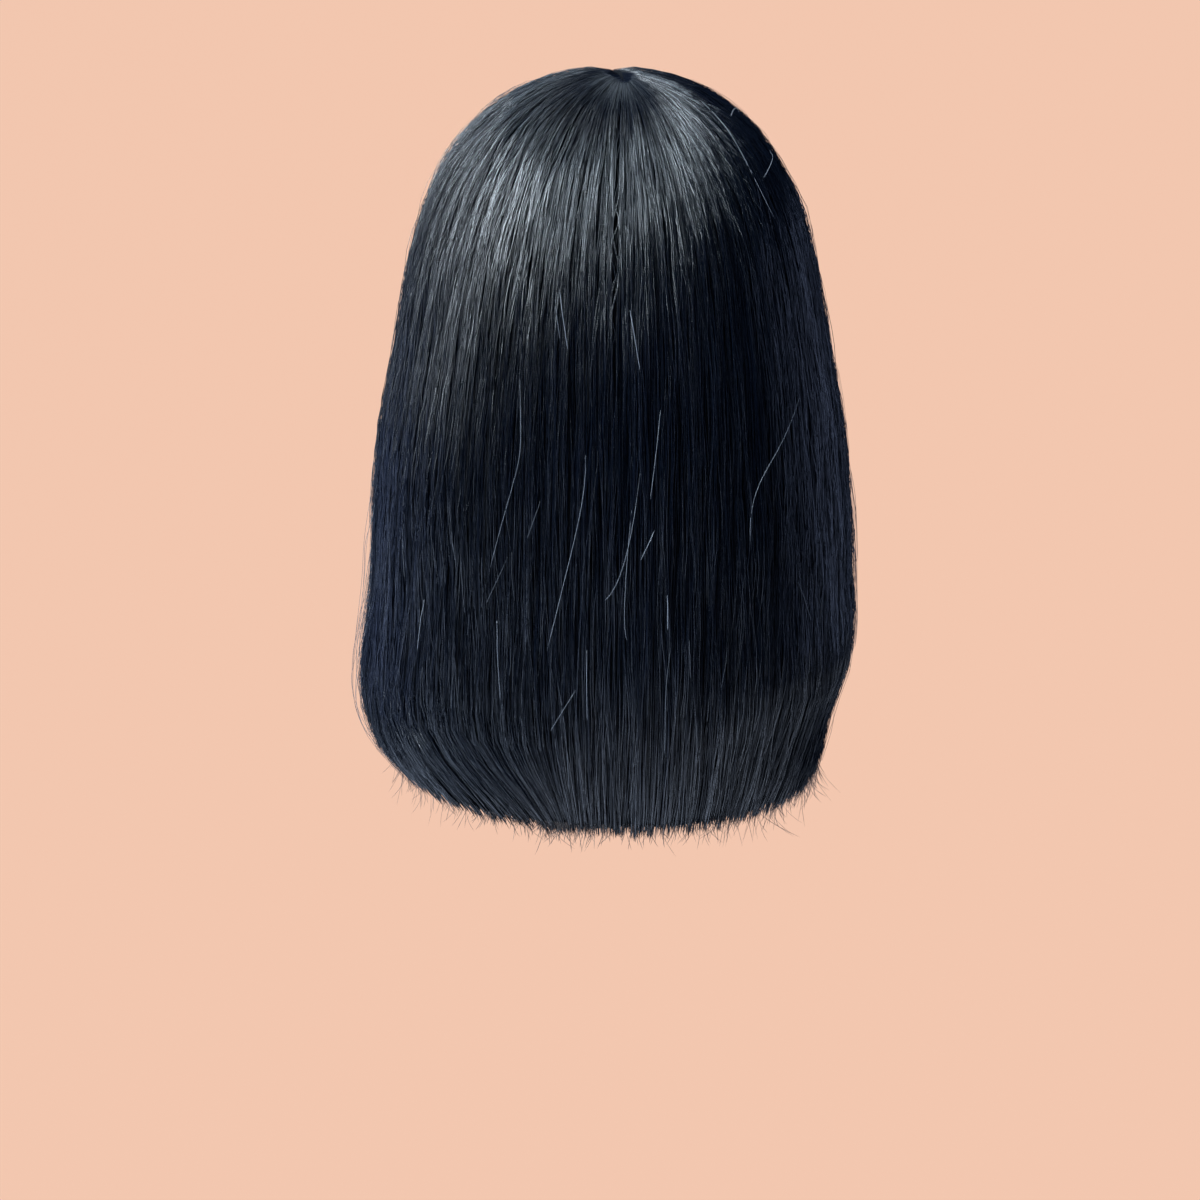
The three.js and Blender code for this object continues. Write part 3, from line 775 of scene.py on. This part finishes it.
def net_material():
    """A dark stretch net with rows of stitches where the wefts are sewn on."""
    material = bpy.data.materials.new("cap_net")
    material.use_nodes = True
    tree = material.node_tree
    shader = tree.nodes["Principled BSDF"]
    shader.inputs["Roughness"].default_value = 0.85
    place = new_node(tree, "ShaderNodeTexCoord")
    cells = new_node(tree, "ShaderNodeTexVoronoi", {"Scale": 700}, feature="DISTANCE_TO_EDGE")
    thread = new_node(tree, "ShaderNodeMapRange", {"From Max": 0.12, "To Min": 1.0, "To Max": 0.0})
    rows = new_node(
        tree, "ShaderNodeTexWave", {"Scale": 18, "Distortion": 0.6, "Detail": 1},
        wave_type="BANDS", bands_direction="Z",
    )
    weft = new_node(tree, "ShaderNodeMapRange", {"From Min": 0.8, "From Max": 0.95})
    height = new_node(tree, "ShaderNodeMath", operation="MAXIMUM")
    ramp = new_node(tree, "ShaderNodeValToRGB")
    ramp.color_ramp.elements[0].color = (0.004, 0.0035, 0.004, 1)
    ramp.color_ramp.elements[1].color = (0.035, 0.029, 0.027, 1)
    relief = new_node(tree, "ShaderNodeBump", {"Distance": 0.0006})
    tree.links.new(place.outputs["Object"], cells.inputs["Vector"])
    tree.links.new(place.outputs["Object"], rows.inputs["Vector"])
    tree.links.new(cells.outputs["Distance"], thread.inputs["Value"])
    tree.links.new(rows.outputs["Fac"], weft.inputs["Value"])
    tree.links.new(thread.outputs["Result"], height.inputs[0])
    tree.links.new(weft.outputs["Result"], height.inputs[1])
    tree.links.new(height.outputs["Value"], ramp.inputs["Fac"])
    tree.links.new(height.outputs["Value"], relief.inputs["Height"])
    tree.links.new(ramp.outputs["Color"], shader.inputs["Base Color"])
    tree.links.new(relief.outputs["Normal"], shader.inputs["Normal"])
    return material


# Copies of one hair material by depth: the shine on top is lightest and glossiest, then the strands, the
# dull fill and the base mass under them. The darker, less glossy deep copies, used for the fill, the base
# mass and the under hair's wall, are painted shade between and under the strands.
HAIR = hair_material(
    "hair", dark=(0.0004, 0.0008, 0.002), light=(0.0009, 0.0018, 0.0045), rough=(0.3, 0.19), specular=0.27
)
HAIR_SHINE = hair_material(
    "shine", dark=(0.0006, 0.001, 0.0022), light=(0.0012, 0.002, 0.0045), rough=(0.25, 0.16), specular=0.8
)
HAIR_DULL_PAINTED_SHADE = hair_material(
    "dull_hair_painted_shade", dark=(0.0003, 0.0006, 0.0015), light=(0.0007, 0.0014, 0.0035), rough=(0.36, 0.26),
    specular=0.12,
)
HAIR_BASE_PAINTED_SHADE = hair_material(
    "hair_base_painted_shade", dark=(0.0002, 0.0003, 0.0007), light=(0.0005, 0.0007, 0.0013), rough=(0.7, 0.55),
    specular=0.08, bump=0.0002,
)
# The stray hairs' material is far paler than the hair: a painted highlight, standing for the light that the
# loose black hairs catch.
STRAY_SHEEN_PAINTED = hair_material(
    "stray_hair_painted_sheen", dark=(0.012, 0.014, 0.018), light=(0.12, 0.128, 0.146), rough=(0.45, 0.3)
)
WISP = hair_material(
    "wisp_hair", dark=(0.004, 0.003, 0.003), light=(0.03, 0.015, 0.01), rough=(0.6, 0.45)
)
STRAND_MATERIALS = {"dull": HAIR_DULL_PAINTED_SHADE, "hair": HAIR, "shine": HAIR_SHINE}

for index, panel in enumerate(PANELS):
    base_wall(panel, SEEDS["base"] + index, HAIR_BASE_PAINTED_SHADE)
    lining_strands(panel, SEEDS["lining"] + index, HAIR)
    for k, layer in enumerate(LAYERS):
        strand_layer(panel, layer, SEEDS["layer"] + 7 * index + k, STRAND_MATERIALS[layer["material"]])
under_hair(SEEDS["under"], HAIR_BASE_PAINTED_SHADE, HAIR)
cap_net(net_material())
stray_hairs(SEEDS["stray"], STRAY_SHEEN_PAINTED)
hem_wisps(SEEDS["wisps"], WISP)

# The camera: behind the wig and level with its crown, tilted down.
CAMERA_AZIMUTH = math.radians(172.0)
CAMERA_DISTANCE = 1.0
CAMERA_PITCH = math.radians(12.5)
CAMERA_YAW = math.radians(0.278)
CAMERA_LENS = 68.1
camera = bpy.data.objects.new("camera", bpy.data.cameras.new("camera"))
bpy.context.scene.collection.objects.link(camera)
camera.data.lens = CAMERA_LENS
camera.location = (
    CAMERA_DISTANCE * math.sin(CAMERA_AZIMUTH),
    -CAMERA_DISTANCE * math.cos(CAMERA_AZIMUTH),
    0.0,
)
camera.rotation_euler = (math.pi / 2 - CAMERA_PITCH, 0, CAMERA_AZIMUTH + CAMERA_YAW)
bpy.context.scene.camera = camera


LIGHTS_AIM = Vector((0, 0, -0.12))


def softbox(name, at, away, size, power, tint):
    """A soft light aimed at the middle of the wig. at gives its azimuth and elevation as seen from
    the face side, and tint its red and green beside a full blue."""
    light = bpy.data.objects.new(name, bpy.data.lights.new(name, "AREA"))
    bpy.context.scene.collection.objects.link(light)
    light.data.shape = "RECTANGLE"
    light.data.size, light.data.size_y = size
    light.data.energy = power
    light.data.color = (*tint, 1.0)
    azimuth, elevation = (math.radians(angle) for angle in at)
    back = Vector(
        (
            math.sin(azimuth) * math.cos(elevation),
            -math.cos(azimuth) * math.cos(elevation),
            math.sin(elevation),
        )
    )
    light.location = LIGHTS_AIM + away * back
    light.rotation_mode = "QUATERNION"
    light.rotation_quaternion = (-back).to_track_quat("-Z", "Y")
    light.visible_camera = False


softbox("key", at=(115, 40), away=1.6, size=(0.8, 1.15), power=114, tint=(0.8, 0.91))
softbox("left_key", at=(98, 14), away=1.6, size=(0.6, 0.5), power=11, tint=(0.78, 0.89))
softbox("high_key", at=(146, 60), away=1.6, size=(0.6, 1.3), power=36, tint=(0.68, 0.85))
softbox("top_key", at=(150, 86), away=1.6, size=(0.7, 0.9), power=9, tint=(0.8, 0.91))
softbox("front_top", at=(352, 52), away=1.6, size=(1.0, 0.7), power=5, tint=(0.7, 0.86))
softbox("front_left", at=(30, -4), away=1.6, size=(1.4, 0.8), power=6, tint=(0.94, 0.97))
softbox("front_right", at=(330, -4), away=1.6, size=(1.4, 0.8), power=6, tint=(0.94, 0.97))
softbox("low_fill", at=(176, -57), away=1.1, size=(1.2, 1.0), power=5, tint=(0.7, 0.8))
softbox("low_edge", at=(176, -42), away=1.2, size=(1.2, 1.0), power=3, tint=(0.7, 0.8))
softbox("low_left", at=(114, -40), away=1.2, size=(1.0, 1.3), power=19, tint=(0.62, 0.76))
softbox("low_right", at=(224, -48), away=1.2, size=(0.9, 0.9), power=4.5, tint=(0.7, 0.8))
softbox("left_fill", at=(80, -6), away=1.6, size=(0.9, 0.6), power=4, tint=(0.42, 0.55))
softbox("right_fill", at=(258, 2), away=1.6, size=(0.9, 1.1), power=8, tint=(0.5, 0.62))


def backdrop():
    """A wide round floor that curves up into a wall."""
    floor_level, flat, bend, top, turns = -1.6, 1.8, 1.6, 12.0, 96
    profile = [(0.0, floor_level)] + [
        (flat + bend * math.sin(a), floor_level + bend * (1 - math.cos(a)))
        for a in np.linspace(0, math.pi / 2, 16)
    ]
    profile.append((flat + bend, top))
    angles = np.linspace(0, 2 * math.pi, turns, endpoint=False)
    points = [(r * math.cos(a), r * math.sin(a), z) for r, z in profile for a in angles]
    faces = [
        (i * turns + j, i * turns + (j + 1) % turns, (i + 1) * turns + (j + 1) % turns, (i + 1) * turns + j)
        for i in range(len(profile) - 1)
        for j in range(turns)
    ]
    mesh = bpy.data.meshes.new("backdrop")
    mesh.from_pydata(points, [], faces)
    mesh.shade_smooth()
    material = bpy.data.materials.new("backdrop")
    material.use_nodes = True
    shader = material.node_tree.nodes["Principled BSDF"]
    peach = (0.887, 0.565, 0.423, 1)
    shader.inputs["Base Color"].default_value = (0.02, 0.013, 0.01, 1)
    shader.inputs["Roughness"].default_value = 1.0
    shader.inputs["Specular IOR Level"].default_value = 0.0
    shader.inputs["Emission Color"].default_value = peach
    shader.inputs["Emission Strength"].default_value = 0.99
    mesh.materials.append(material)
    stage = bpy.data.objects.new("backdrop", mesh)
    bpy.context.scene.collection.objects.link(stage)
    stage.visible_glossy = False
    stage.visible_diffuse = False
    stage.visible_shadow = False


backdrop()
world = bpy.data.worlds.new("studio")
world.use_nodes = True
world.node_tree.nodes["Background"].inputs["Color"].default_value = (0.25, 0.45, 1.0, 1)
world.node_tree.nodes["Background"].inputs["Strength"].default_value = 0.13
bpy.context.scene.world = world
bpy.context.scene.view_settings.view_transform = "Standard"
